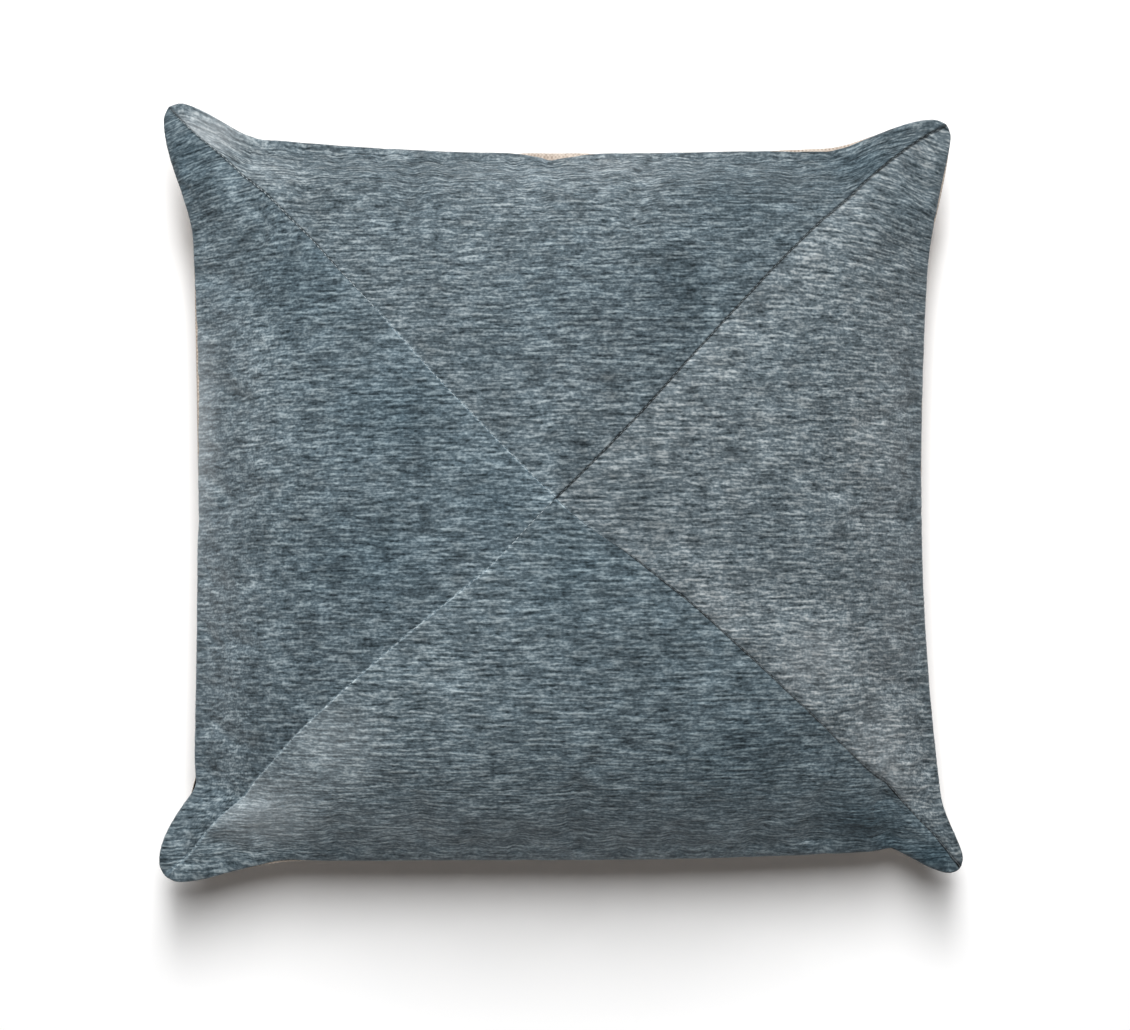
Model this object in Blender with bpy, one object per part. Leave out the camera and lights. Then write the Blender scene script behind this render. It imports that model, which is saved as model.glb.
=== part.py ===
"""A square throw cushion with a mitred front, lying on its back.

The front is four triangles of slubbed chenille sewn corner to centre, and the
back is one square of plain cloth. The two are sewn edge to edge with no piping,
turned, and filled. Lying down, the cushion has a crowned face, sides that draw
in between four soft ears, a seam that runs round it at about half its height,
and a back that is pressed flat where it carries the weight.

Metres, +Z up. +Y is the edge that is uppermost when the cushion stands up.
The origin is on the floor, under the middle of the cushion.
"""

import math

import bmesh
import bpy
from mathutils import Vector

# Driving dimensions
SEWN_SIDE = 0.450  # side of the cover, laid flat between its seams
CROWN = 0.088  # rise of the face above the seam, at the middle
SEAM_HEIGHT = 0.058  # height of the seam above the floor, at mid-side
EDGE_SLOPE = math.radians(64)  # how steeply the cloth leaves the seam at mid-side
STEEPENING = 1.4  # power of the way along the cloth at which its slope grows
TIP_RADIUS = 0.012  # rounding of an ear's tip, seen from above
EAR_LEANNESS = 0.82  # below 1, the ears are plumper than two sections multiplied
SLUMP = 0.05  # share by which the filling is fuller towards the -Y side
FOOT_TURN = 0.35  # share of the seam's height in which the back turns onto the floor

# The mitre seams, sewn corner to centre, draw the face in along a narrow channel
CHANNEL_DEPTH = 0.0018
CHANNEL_HALF_WIDTH = 0.006
CHANNEL_FADE = 0.2  # share of the half-side in which it shallows towards the rim

# The flat cover as a grid, finer towards its edges
GRID_CELLS = 46
EDGE_CROWDING = 0.22

# How far each side's seam stands from the middle at mid-side
DRAWN_IN = {"top": 0.1877, "right": 0.1982, "bottom": 0.2030, "left": 0.2023}

# How each half of a side runs out to its ear. bow is the even curve of the whole
# half and ear the extra reach of the ear, which grows from one share of the
# half's length to another.
HALF_SIDES = {
    ("top", "left"): {"bow": 0.014, "ear": 0.015, "start": 0.74, "end": 0.97},
    ("top", "right"): {"bow": 0.006, "ear": 0.014, "start": 0.67, "end": 0.94},
    ("right", "top"): {"bow": 0.010, "ear": 0.008, "start": 0.58, "end": 0.98},
    ("right", "bottom"): {"bow": 0.018, "ear": 0.008, "start": 0.78, "end": 0.98},
    ("bottom", "left"): {"bow": 0.002, "ear": 0.011, "start": 0.66, "end": 0.95},
    ("bottom", "right"): {"bow": -0.007, "ear": 0.015, "start": 0.74, "end": 0.98},
    ("left", "top"): {"bow": 0.006, "ear": 0.013, "start": 0.64, "end": 0.94},
    ("left", "bottom"): {"bow": 0.004, "ear": 0.018, "start": 0.73, "end": 0.93},
}

# How far each ear lifts or droops from the seam's height
EAR_LIFTS = {
    ("left", "top"): 0.006,
    ("right", "top"): -0.004,
    ("left", "bottom"): -0.006,
    ("right", "bottom"): -0.010,
}

# Soft dents where the cloth buckles beside an ear. across and up say where a dent
# starts on the seam, as shares of the half-side, and heading is the way that it runs
# in, in degrees from +X.
DENTS = [
    {"across": -0.80, "up": 1.00, "heading": -62, "length": 0.050, "width": 0.011, "depth": 0.0045},
    {"across": -1.00, "up": -0.76, "heading": 12, "length": 0.055, "width": 0.012, "depth": 0.0050},
    {"across": -0.84, "up": -1.00, "heading": 58, "length": 0.045, "width": 0.010, "depth": 0.0040},
    {"across": 0.80, "up": -1.00, "heading": 112, "length": 0.060, "width": 0.013, "depth": 0.0065},
    {"across": 0.86, "up": 1.00, "heading": -120, "length": 0.045, "width": 0.014, "depth": 0.0025},
    {"across": -1.00, "up": -0.06, "heading": 0, "length": 0.030, "width": 0.012, "depth": 0.0020},
]

DENT_PULL = 0.3  # share of a dent's depth by which it draws the seam in too
RIM_SHARPNESS = 6  # power of the way to the rim at which that pull grows

COVER_COLOUR = (0.135, 0.185, 0.21, 1.0)
COVER_ROUGHNESS = 0.92


def clear_scene():
    for old in list(bpy.data.objects):
        bpy.data.objects.remove(old, do_unlink=True)


def smooth_step(value):
    """Runs from 0 to 1 with level ends."""
    held = min(max(value, 0.0), 1.0)
    return held * held * (3.0 - 2.0 * held)


def crowded(share):
    """Moves an even share from -1 to 1 towards the ends, so that cells there are finer."""
    return (1.0 + EDGE_CROWDING) * share - EDGE_CROWDING * share**3


def arc_table(steps=200):
    """Plan run and rise of the face's section, from its middle to the seam.

    The cloth leaves the middle level and steepens to EDGE_SLOPE, so both come
    from adding up short lengths of it. Each ends at 1.
    """
    run, rise = [0.0], [0.0]
    for step in range(steps):
        slope = EDGE_SLOPE * ((step + 0.5) / steps) ** STEEPENING
        run.append(run[-1] + math.cos(slope))
        rise.append(rise[-1] + math.sin(slope))
    return [value / run[-1] for value in run], [value / rise[-1] for value in rise]


ARC_RUN, ARC_RISE = arc_table()


def along(table, share):
    """Reads a table at a share of its length."""
    place = min(max(share, 0.0), 1.0) * (len(table) - 1)
    low = min(int(place), len(table) - 2)
    return table[low] + (place - low) * (table[low + 1] - table[low])


def plan_share(share, other):
    """Where a point of the flat cover comes to in plan: foreshortened near a seam,
    and less so towards an ear, where the face is low."""
    foreshortened = math.copysign(along(ARC_RUN, abs(share)), share)
    return foreshortened + (share - foreshortened) * other * other


def fullness(share):
    """Height of the face's section at a share of the half-side: 1 in the middle, 0 at the seam."""
    return 1.0 - along(ARC_RISE, abs(share))


def seam_reach(side, share):
    """Distance of a side's seam from the cushion's middle line, at a share along it."""
    if side in ("top", "bottom"):
        half = "left" if share < 0.0 else "right"
    else:
        half = "bottom" if share < 0.0 else "top"
    row = HALF_SIDES[side, half]
    ear = smooth_step((abs(share) - row["start"]) / (row["end"] - row["start"]))
    return DRAWN_IN[side] + row["bow"] * share * share + row["ear"] * ear


def round_tip(x, y, reach_x, reach_y):
    """Carries a point of an ear's square corner into a quarter circle of TIP_RADIUS."""
    from_x = abs(x) - (reach_x - TIP_RADIUS)
    from_y = abs(y) - (reach_y - TIP_RADIUS)
    if from_x <= 0.0 or from_y <= 0.0:
        return x, y
    squeeze = max(from_x, from_y) / math.hypot(from_x, from_y)
    return (
        math.copysign(reach_x - TIP_RADIUS + from_x * squeeze, x),
        math.copysign(reach_y - TIP_RADIUS + from_y * squeeze, y),
    )


def plan_point(across, up):
    """Where a point of the flat cover lies, seen from above."""
    left, right = seam_reach("left", up), seam_reach("right", up)
    bottom, top = seam_reach("bottom", across), seam_reach("top", across)
    x = (right - left) / 2 + plan_share(across, up) * (right + left) / 2
    y = (top - bottom) / 2 + plan_share(up, across) * (top + bottom) / 2
    return round_tip(
        x,
        y,
        seam_reach("right" if x > 0.0 else "left", 1.0 if y > 0.0 else -1.0),
        seam_reach("top" if y > 0.0 else "bottom", 1.0 if x > 0.0 else -1.0),
    )


def seam_level(across, up):
    """Height of the seam, or of the level between its sides, above the floor."""
    ear = EAR_LIFTS["left" if across < 0.0 else "right", "bottom" if up < 0.0 else "top"]
    return SEAM_HEIGHT + ear * across**2 * up**2


def crown_at(across, up):
    """Half the cushion's thickness. An ear is plumper than the two sections multiplied."""
    section = (fullness(across) * fullness(up)) ** EAR_LEANNESS
    return CROWN * section * (1.0 - SLUMP * up)


def pressed(depth, limit):
    """Depth of the back below the seam, pressed flat where it would pass the floor."""
    soft = FOOT_TURN * limit
    if depth <= limit - soft:
        return depth
    if depth >= limit + soft:
        return limit
    return limit - (limit + soft - depth) ** 2 / (4.0 * soft)


def dent_at(place):
    """How far the dents draw the cloth in at a point in plan."""
    total = 0.0
    for dent in DENTS:
        start = Vector(plan_point(dent["across"], dent["up"]))
        heading = math.radians(dent["heading"])
        way = Vector((math.cos(heading), math.sin(heading)))
        offset = place - start
        run = offset.dot(way) / dent["length"]
        aside = (offset.x * way.y - offset.y * way.x) / dent["width"]
        total += dent["depth"] * (1.0 - smooth_step(abs(run))) * math.exp(-aside * aside)
    return total


def channel_at(across, up):
    """How far the mitre seams draw the face in. They run along both diagonals."""
    reach = max(abs(across), abs(up))
    from_seam = abs(abs(across) - abs(up)) * SEWN_SIDE / 2
    on_seam = max(0.0, 1.0 - from_seam / CHANNEL_HALF_WIDTH)
    return CHANNEL_DEPTH * on_seam * smooth_step((1.0 - reach) / CHANNEL_FADE)


def cover_point(across, up, is_front):
    """Where a point of the flat cover lies on the filled cushion."""
    x, y = plan_point(across, up)
    inward = dent_at(Vector((x, y)))
    rim = max(abs(across), abs(up)) ** RIM_SHARPNESS
    outward = Vector((x, y)).normalized()
    x -= DENT_PULL * inward * rim * outward.x
    y -= DENT_PULL * inward * rim * outward.y
    level = seam_level(across, up)
    half = crown_at(across, up)
    if is_front:
        return Vector((x, y, level + half - inward * (1.0 - rim) - channel_at(across, up)))
    return Vector((x, y, level - pressed(half, level)))


def cloth_material():
    material = bpy.data.materials.new("slubbed_chenille")
    material.use_nodes = True
    shader = material.node_tree.nodes["Principled BSDF"]
    shader.inputs["Base Color"].default_value = COVER_COLOUR
    shader.inputs["Roughness"].default_value = COVER_ROUGHNESS
    shader.inputs["Metallic"].default_value = 0.0
    return material


def flat_layer(mesh, is_front):
    """Adds one layer of the flat cover, held apart from the other but for its rim."""
    made = bmesh.ops.create_grid(mesh, x_segments=GRID_CELLS, y_segments=GRID_CELLS, size=1.0)
    if not is_front:
        faces = {face for vert in made["verts"] for face in vert.link_faces}
        bmesh.ops.reverse_faces(mesh, faces=list(faces))
    for vert in made["verts"]:
        across, up = crowded(vert.co.x), crowded(vert.co.y)
        apart = (1.0 - across**2) * (1.0 - up**2)
        vert.co = (across, up, apart if is_front else -apart)


def make_cushion(collection):
    """The whole filled cushion, as one closed solid: two layers sewn at the rim."""
    mesh = bmesh.new()
    flat_layer(mesh, is_front=True)
    flat_layer(mesh, is_front=False)
    bmesh.ops.remove_doubles(mesh, verts=mesh.verts, dist=1e-6)
    for vert in mesh.verts:
        vert.co = cover_point(vert.co.x, vert.co.y, is_front=vert.co.z >= 0.0)
    data = bpy.data.meshes.new("cushion")
    mesh.to_mesh(data)
    mesh.free()
    data.materials.append(cloth_material())
    data.shade_smooth()
    cushion = bpy.data.objects.new("cushion", data)
    collection.objects.link(cushion)
    return cushion


def centre_on_floor(cushion):
    """Puts the origin on the floor, under the middle of the cushion's box."""
    corners = [vert.co for vert in cushion.data.vertices]
    low = Vector(min(corner[axis] for corner in corners) for axis in range(3))
    high = Vector(max(corner[axis] for corner in corners) for axis in range(3))
    for vert in cushion.data.vertices:
        vert.co.x -= (low.x + high.x) / 2
        vert.co.y -= (low.y + high.y) / 2
        vert.co.z -= low.z


def main():
    clear_scene()
    collection = bpy.data.collections.new("throw_cushion")
    bpy.context.scene.collection.children.link(collection)
    cushion = make_cushion(collection)
    centre_on_floor(cushion)


main()
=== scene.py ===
"""The finish of a square throw cushion with a mitred front, seen from above.

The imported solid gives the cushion's size and place. Here its cover is cut, filled by
a cloth simulation, and made up as five panels of cloth: four triangles of slubbed
chenille that meet corner to centre, and a plain square back. Metres, +Z up.
"""

import math

import bmesh
import bpy
import numpy as np
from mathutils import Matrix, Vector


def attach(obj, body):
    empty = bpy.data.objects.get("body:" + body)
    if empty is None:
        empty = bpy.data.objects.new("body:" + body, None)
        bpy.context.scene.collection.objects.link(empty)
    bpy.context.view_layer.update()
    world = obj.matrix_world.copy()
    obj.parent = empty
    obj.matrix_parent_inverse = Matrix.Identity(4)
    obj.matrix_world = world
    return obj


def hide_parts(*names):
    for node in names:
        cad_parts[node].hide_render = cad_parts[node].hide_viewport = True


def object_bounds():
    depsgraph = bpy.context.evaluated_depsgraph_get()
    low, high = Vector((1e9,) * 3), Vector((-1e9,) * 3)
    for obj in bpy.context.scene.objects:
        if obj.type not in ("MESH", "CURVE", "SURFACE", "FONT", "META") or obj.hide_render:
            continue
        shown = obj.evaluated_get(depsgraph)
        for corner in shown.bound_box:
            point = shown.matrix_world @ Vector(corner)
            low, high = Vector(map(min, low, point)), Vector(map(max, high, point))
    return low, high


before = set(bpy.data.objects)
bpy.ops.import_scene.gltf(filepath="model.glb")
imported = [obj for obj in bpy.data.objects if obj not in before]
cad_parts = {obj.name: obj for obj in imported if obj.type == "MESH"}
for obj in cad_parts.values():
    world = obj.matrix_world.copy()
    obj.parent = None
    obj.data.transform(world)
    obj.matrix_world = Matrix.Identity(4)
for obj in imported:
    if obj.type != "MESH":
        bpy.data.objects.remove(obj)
solid_low, solid_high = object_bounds()

# The camera
# It looks straight down on the crowned face, as the photograph looks straight at
# it, from about two metres away, with the cushion's upper edge at the top.

PHOTO_WIDTH = 1130
PHOTO_HEIGHT = 1030
SEAM_PIXEL = 0.000555  # metres that one pixel of the photograph covers at the seam
ORIGIN_PX = (561.4, 493.5)  # where the frame's origin shows
VIEW_DISTANCE = 2.2  # from the seam's level
SEAM_HEIGHT = 0.058  # of the outer seam above the floor
SENSOR = 36.0

camera_data = bpy.data.cameras.new("view")
camera_data.sensor_width = SENSOR
camera_data.lens = SENSOR * VIEW_DISTANCE / (PHOTO_WIDTH * SEAM_PIXEL)
camera = bpy.data.objects.new("view", camera_data)
camera.location = (
    (PHOTO_WIDTH / 2 - ORIGIN_PX[0]) * SEAM_PIXEL,
    (ORIGIN_PX[1] - PHOTO_HEIGHT / 2) * SEAM_PIXEL,
    SEAM_HEIGHT + VIEW_DISTANCE,
)
bpy.context.scene.collection.objects.link(camera)
bpy.context.scene.camera = camera

# The cover's cut and outline
# The cover is cut square. Filled, its sides draw in between four ears, each in its
# own way. Places on the flat cover are shares of its half-side: across runs from -1
# to 1 towards +X, and up towards +Y.

SEWN_SIDE = 0.450
HALF = SEWN_SIDE / 2
TIP_RADIUS = 0.012
DRAWN_IN = {"top": 0.1877, "right": 0.1982, "bottom": 0.2030, "left": 0.2023}
HALF_SIDES = {  # bow, then the ear's reach, start, end and kink
    ("top", "left"): (0.014, 0.015, 0.74, 0.97, 0.0),
    ("top", "right"): (0.006, 0.014, 0.67, 0.94, 0.0),
    ("right", "top"): (0.01, 0.008, 0.58, 0.98, 0.0),
    ("right", "bottom"): (0.018, 0.008, 0.78, 0.98, 0.0),
    ("bottom", "left"): (0.002, 0.011, 0.66, 0.95, 0.0),
    ("bottom", "right"): (-0.007, 0.016, 0.82, 0.99, 0.6),
    ("left", "top"): (0.006, 0.013, 0.64, 0.94, 0.0),
    ("left", "bottom"): (0.0045, 0.018, 0.762, 0.945, 0.9),
}
EAR_LIFTS = {
    ("left", "top"): 0.006,
    ("right", "top"): -0.004,
    ("left", "bottom"): -0.006,
    ("right", "bottom"): -0.010,
}


def smooth_step(value):
    """Runs from 0 to 1 with level ends."""
    held = np.clip(value, 0.0, 1.0)
    return held * held * (3.0 - 2.0 * held)


def seam_reach(side, share):
    """Distance of a side's seam from the cushion's middle line, at shares along it."""
    low_half, high_half = ("left", "right") if side in ("top", "bottom") else ("bottom", "top")
    reaches = []
    for half in (low_half, high_half):
        bow, ear, start, end, kink = HALF_SIDES[side, half]
        along = np.clip((abs(share) - start) / (end - start), 0.0, 1.0)
        kinked = np.sin(along * math.pi / 2)
        turn = smooth_step(along) + (kinked - smooth_step(along)) * kink
        reaches.append(DRAWN_IN[side] + bow * share**2 + ear * turn)
    return np.where(share < 0.0, *reaches)


CROWN = 0.088
EDGE_SLOPE = math.radians(64)
STEEPENING = 1.4
EAR_LEANNESS = 0.82
SLUMP = 0.05
SECTION_STEPS = 200

section_slopes = EDGE_SLOPE * ((np.arange(SECTION_STEPS) + 0.5) / SECTION_STEPS) ** STEEPENING
section_run = np.concatenate([[0.0], np.cumsum(np.cos(section_slopes))])
section_rise = np.concatenate([[0.0], np.cumsum(np.sin(section_slopes))])
section_places = np.linspace(0.0, 1.0, section_run.size)


def plan_share(share, other):
    """Where a share comes to in plan: foreshortened near a seam, less so near an ear."""
    foreshortened = np.copysign(
        np.interp(abs(share), section_places, section_run / section_run[-1]), share
    )
    return foreshortened + (share - foreshortened) * other**2


def fullness(share):
    """Height of the section at a share of the half-side: 1 in the middle, 0 at the seam."""
    return 1.0 - np.interp(abs(share), section_places, section_rise / section_rise[-1])


def plan_points(across, up):
    """Where points of the flat cover lie, seen from above."""
    left, right = seam_reach("left", up), seam_reach("right", up)
    bottom, top = seam_reach("bottom", across), seam_reach("top", across)
    x = (right - left) / 2 + plan_share(across, up) * (right + left) / 2
    y = (top - bottom) / 2 + plan_share(up, across) * (top + bottom) / 2
    end_x, end_y = np.where(x > 0.0, 1.0, -1.0), np.where(y > 0.0, 1.0, -1.0)
    corner_x = np.where(x > 0.0, seam_reach("right", end_y), seam_reach("left", end_y))
    corner_y = np.where(y > 0.0, seam_reach("top", end_x), seam_reach("bottom", end_x))
    from_x = abs(x) - (corner_x - TIP_RADIUS)
    from_y = abs(y) - (corner_y - TIP_RADIUS)
    rounded = (from_x > 0.0) & (from_y > 0.0)
    squeeze = np.maximum(from_x, from_y) / np.maximum(np.hypot(from_x, from_y), 1e-9)
    x = np.where(rounded, np.copysign(corner_x - TIP_RADIUS + from_x * squeeze, x), x)
    y = np.where(rounded, np.copysign(corner_y - TIP_RADIUS + from_y * squeeze, y), y)
    return x, y


def seam_level(across, up):
    """Height above the floor of the seam, or of the level between its sides."""
    ear = np.where(
        across < 0,
        np.where(up < 0, EAR_LIFTS["left", "bottom"], EAR_LIFTS["left", "top"]),
        np.where(up < 0, EAR_LIFTS["right", "bottom"], EAR_LIFTS["right", "top"]),
    )
    return SEAM_HEIGHT + ear * across**2 * up**2


# The dents
# Beside the ears the sewn cover has too much cloth for its filling, and buckles into
# soft dents. Each is placed where it shows: it starts on the seam and runs inward.

DENTS = [  # across and up, heading in degrees, length, width and depth
    (-0.80, 1.00, -62, 0.050, 0.011, 0.0045),
    (-1.00, -0.76, 12, 0.055, 0.012, 0.0050),
    (-0.84, -1.00, 58, 0.045, 0.010, 0.0040),
    (0.83, -1.00, 112, 0.050, 0.009, 0.0075),
    (0.86, 1.00, -120, 0.045, 0.014, 0.0025),
    (-1.00, -0.06, 0, 0.030, 0.012, 0.0020),
]
DENT_PULL = 0.3
RIM_SHARPNESS = 6


def dents_at(x, y):
    """How far the dents draw the cloth in at points in plan."""
    total = np.zeros_like(x)
    for across, up, degrees, length, width, depth in DENTS:
        start = plan_points(np.array(across), np.array(up))
        heading = math.radians(degrees)
        from_x, from_y = x - start[0], y - start[1]
        run = (from_x * math.cos(heading) + from_y * math.sin(heading)) / length
        aside = (from_x * math.sin(heading) - from_y * math.cos(heading)) / width
        total += depth * (1.0 - smooth_step(abs(run))) * np.exp(-(aside**2))
    return total


def rim_share(across, up):
    """Runs from 0 inside the cover to 1 at its seam, most of it close to the seam."""
    return np.maximum(abs(across), abs(up)) ** RIM_SHARPNESS


# The filling
# A pad of fibre fills the cover. The cloth simulation takes the cover's rough form,
# gives its cloth the ease that it has over that form, and blows it out against its
# outer seam, so that it finds its own tension and puckers a little along the seam.

GRID_CELLS = 90
START_FULLNESS = 0.94
CELLS_EASE = {"seam": 0.014, "face": 0.008}  # growth of the cloth's cells
EASE_REACH = 0.3  # share of the half-side over which the ease goes from one to the other
SIM_FRAMES = 24
CLOTH_SETTINGS = {
    "quality": 6,
    "mass": 0.1,
    "tension_stiffness": 25.0,
    "compression_stiffness": 12.0,
    "shear_stiffness": 6.0,
    "bending_stiffness": 2.0,
    "use_pressure": True,
    "uniform_pressure_force": 4.0,
    "vertex_group_mass": "rim",
    "vertex_group_shrink": "face",
    "shrink_min": -CELLS_EASE["seam"],
    "shrink_max": -CELLS_EASE["face"],
}
LONGEST_MOVE = 0.014
LEAST_FULLNESS = 0.75  # of the rough form, so that front and back never meet in an ear
FOOT_TURN = 0.35


def pressed(depth, limit):
    """Depth of the back below the seam, pressed flat where it would pass the floor."""
    soft = FOOT_TURN * limit
    turned = limit - (limit + soft - depth) ** 2 / (4.0 * soft)
    return np.where(depth <= limit - soft, depth, np.where(depth >= limit + soft, limit, turned))


def rough_layers(across, up):
    """Front and back of the cover before the cloth finds its tension."""
    x, y = plan_points(across, up)
    pull = DENT_PULL * dents_at(x, y) * rim_share(across, up) / np.maximum(np.hypot(x, y), 1e-9)
    x, y = x * (1.0 - pull), y * (1.0 - pull)
    level = seam_level(across, up)
    thickness = START_FULLNESS * CROWN * (fullness(across) * fullness(up)) ** EAR_LEANNESS
    thickness = thickness * (1.0 - SLUMP * up)
    front = np.stack([x, y, level + thickness], axis=-1)
    back = np.stack([x, y, level - thickness], axis=-1)
    return front, back


def grid_faces(numbers, is_front=True):
    """Quads between rows of point numbers, facing up for a front."""
    corners = np.stack(
        [numbers[:-1, :-1], numbers[:-1, 1:], numbers[1:, 1:], numbers[1:, :-1]], axis=-1
    ).reshape(-1, 4)
    return corners if is_front else corners[:, ::-1]


def link_mesh(name, points, faces, edges=()):
    """A new object from points and faces, or from points and edges, at the origin."""
    data = bpy.data.meshes.new(name)
    data.from_pydata(points, edges, faces)
    piece = bpy.data.objects.new(name, data)
    bpy.context.scene.collection.objects.link(piece)
    return piece


def blown_out(front, back, across, up):
    """Runs the cloth simulation on the sewn cover and gives its two layers."""
    side = GRID_CELLS + 1
    front_numbers = np.arange(side * side).reshape(side, side)
    back_numbers = front_numbers.copy()
    back_numbers[1:-1, 1:-1] = side * side + np.arange((side - 2) ** 2).reshape(side - 2, -1)
    points = np.concatenate([front.reshape(-1, 3), back[1:-1, 1:-1].reshape(-1, 3)])
    faces = np.concatenate([grid_faces(front_numbers), grid_faces(back_numbers, False)])
    cover = link_mesh("cover_form", points, faces.tolist())
    from_rim = 1.0 - np.maximum(abs(across), abs(up))
    rim = cover.vertex_groups.new(name="rim")
    rim.add(front_numbers[from_rim < 1e-6].tolist(), 1.0, "REPLACE")
    face = cover.vertex_groups.new(name="face")
    for number, share in enumerate(smooth_step(from_rim / EASE_REACH).ravel().tolist()):
        numbers = {int(front_numbers.flat[number]), int(back_numbers.flat[number])}
        face.add(list(numbers), share, "REPLACE")
    cloth = cover.modifiers.new("filling", "CLOTH")
    cloth.point_cache.frame_end = SIM_FRAMES
    for key, value in CLOTH_SETTINGS.items():
        setattr(cloth.settings, key, value)
    cloth.settings.effector_weights.gravity = 0.0
    cloth.collision_settings.use_collision = False
    cloth.collision_settings.use_self_collision = False
    for number in range(1, SIM_FRAMES + 1):
        bpy.context.scene.frame_set(number)
    settled = cover.evaluated_get(bpy.context.evaluated_depsgraph_get())
    found = np.zeros(len(points) * 3, np.float32)
    settled.data.vertices.foreach_get("co", found)
    found = found.reshape(-1, 3).astype(float)
    bpy.context.scene.frame_set(1)
    bpy.data.objects.remove(cover, do_unlink=True)
    return found[front_numbers], found[back_numbers]


def held_back(moved, start):
    """Caps how far the simulation moved each point."""
    move = moved - start
    length = np.linalg.norm(move, axis=-1, keepdims=True)
    return start + move * np.minimum(1.0, LONGEST_MOVE / np.maximum(length, 1e-9))


shares = np.linspace(-1.0, 1.0, GRID_CELLS + 1)
grid_across, grid_up = np.meshgrid(shares, shares)
front_start, back_start = rough_layers(grid_across, grid_up)
front_layer, back_layer = front_start.copy(), back_start.copy()
front_moved, back_moved = blown_out(front_start, back_start, grid_across, grid_up)
front_layer = held_back(front_moved, front_start)
back_layer = held_back(back_moved, back_start)
level = seam_level(grid_across, grid_up)
least = LEAST_FULLNESS * (front_start[..., 2] - level)
dented = dents_at(front_layer[..., 0], front_layer[..., 1])
sunk = dented * (1.0 - rim_share(grid_across, grid_up))
front_layer[..., 2] = np.maximum(front_layer[..., 2], level + least) - sunk
back_layer[..., 2] = np.minimum(back_layer[..., 2], level - least)
back_layer[..., 2] = level - pressed(level - back_layer[..., 2], level)

# The outline was drawn from the mitre's crossing. The frame's origin is under the
# middle of the cushion's box.
raw_low, raw_high = front_layer.min(axis=(0, 1)), front_layer.max(axis=(0, 1))
for axis in (0, 1):
    shift = (solid_low[axis] + solid_high[axis] - raw_low[axis] - raw_high[axis]) / 2
    front_layer[..., axis] += shift
    back_layer[..., axis] += shift


# The cloth laid over the filling
# Every panel is sewn from cloth about a millimetre thick. A panel's places are read
# on the filled form, and raised or sunk along its outward directions at the seams.


def wrapped(layer, other):
    """A layer with a border of the other one's points, so that it runs round the seam."""
    wide = np.pad(other, ((1, 1), (1, 1), (0, 0)), mode="reflect")
    wide[1:-1, 1:-1] = layer
    return wide


def outward_of(layer, other, sign):
    """Outward directions of a layer. Along the seam they point away from the cushion."""
    wide = wrapped(layer, other)
    way = sign * np.cross(wide[1:-1, 2:] - wide[1:-1, :-2], wide[2:, 1:-1] - wide[:-2, 1:-1])
    for row in (0, -1):
        for column in (0, -1):
            way[row, column] = (layer[row, column] - layer.mean(axis=(0, 1))) * (1.0, 1.0, 0.0)
    return way / np.linalg.norm(way, axis=-1, keepdims=True)


def cubic_weights(part):
    """Weights of four neighbours in a row for a smooth curve through them."""
    return (
        ((2.0 - part) * part - 1.0) * part / 2.0,
        ((3.0 * part - 5.0) * part**2 + 2.0) / 2.0,
        ((4.0 - 3.0 * part) * part + 1.0) * part / 2.0,
        (part - 1.0) * part**2 / 2.0,
    )


def read_grid(wide, across, up):
    """Reads a wrapped grid smoothly between its points."""
    place_x, place_y = ((share + 1.0) / 2.0 * GRID_CELLS for share in (across, up))
    low_x = np.clip(np.floor(place_x), 0, GRID_CELLS - 1).astype(int)
    low_y = np.clip(np.floor(place_y), 0, GRID_CELLS - 1).astype(int)
    total = 0.0
    for row, weight_y in enumerate(cubic_weights(place_y - low_y)):
        for column, weight_x in enumerate(cubic_weights(place_x - low_x)):
            total = total + (weight_y * weight_x)[..., None] * wide[low_y + row, low_x + column]
    return total


front_outward = outward_of(front_layer, back_layer, 1.0)
back_outward = outward_of(back_layer, front_layer, -1.0)
LAYERS = {
    "front": (wrapped(front_layer, back_layer), wrapped(front_outward, back_outward)),
    "back": (wrapped(back_layer, front_layer), wrapped(back_outward, front_outward)),
}


def on_cover(across, up, layer):
    """Points and outward directions at places of the flat cover. A place past the
    seam is on the other layer."""
    past = np.maximum(abs(across), abs(up)) > 1.0
    folded_x = np.where(abs(across) > 1.0, np.sign(across) * (2.0 - abs(across)), across)
    folded_y = np.where(abs(up) > 1.0, np.sign(up) * (2.0 - abs(up)), up)
    points, ways = (read_grid(wide, across, up) for wide in LAYERS[layer])
    if past.any():
        other = "back" if layer == "front" else "front"
        for found, wide in zip((points, ways), LAYERS[other]):
            found[past] = read_grid(wide, folded_x[past], folded_y[past])
    return points, ways / np.linalg.norm(ways, axis=-1, keepdims=True)


CLOTH_THICKNESS = 0.0012
THINNEST = 0.0002
ROOM_TAKEN = 0.6  # share of half the cover's thickness that one cloth takes in an ear
HEM_STEP = 8  # a panel's inner face has one cell for so many of its outer ones
MERGE = 0.0001
HEM_SPREAD = 1.03  # of the hems on the bake map, past the outer face


def edge_lines(numbers):
    """The four edges of a grid of point numbers, in order round it."""
    return numbers[0], numbers[:, -1], numbers[-1, ::-1], numbers[::-1, 0]


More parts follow.
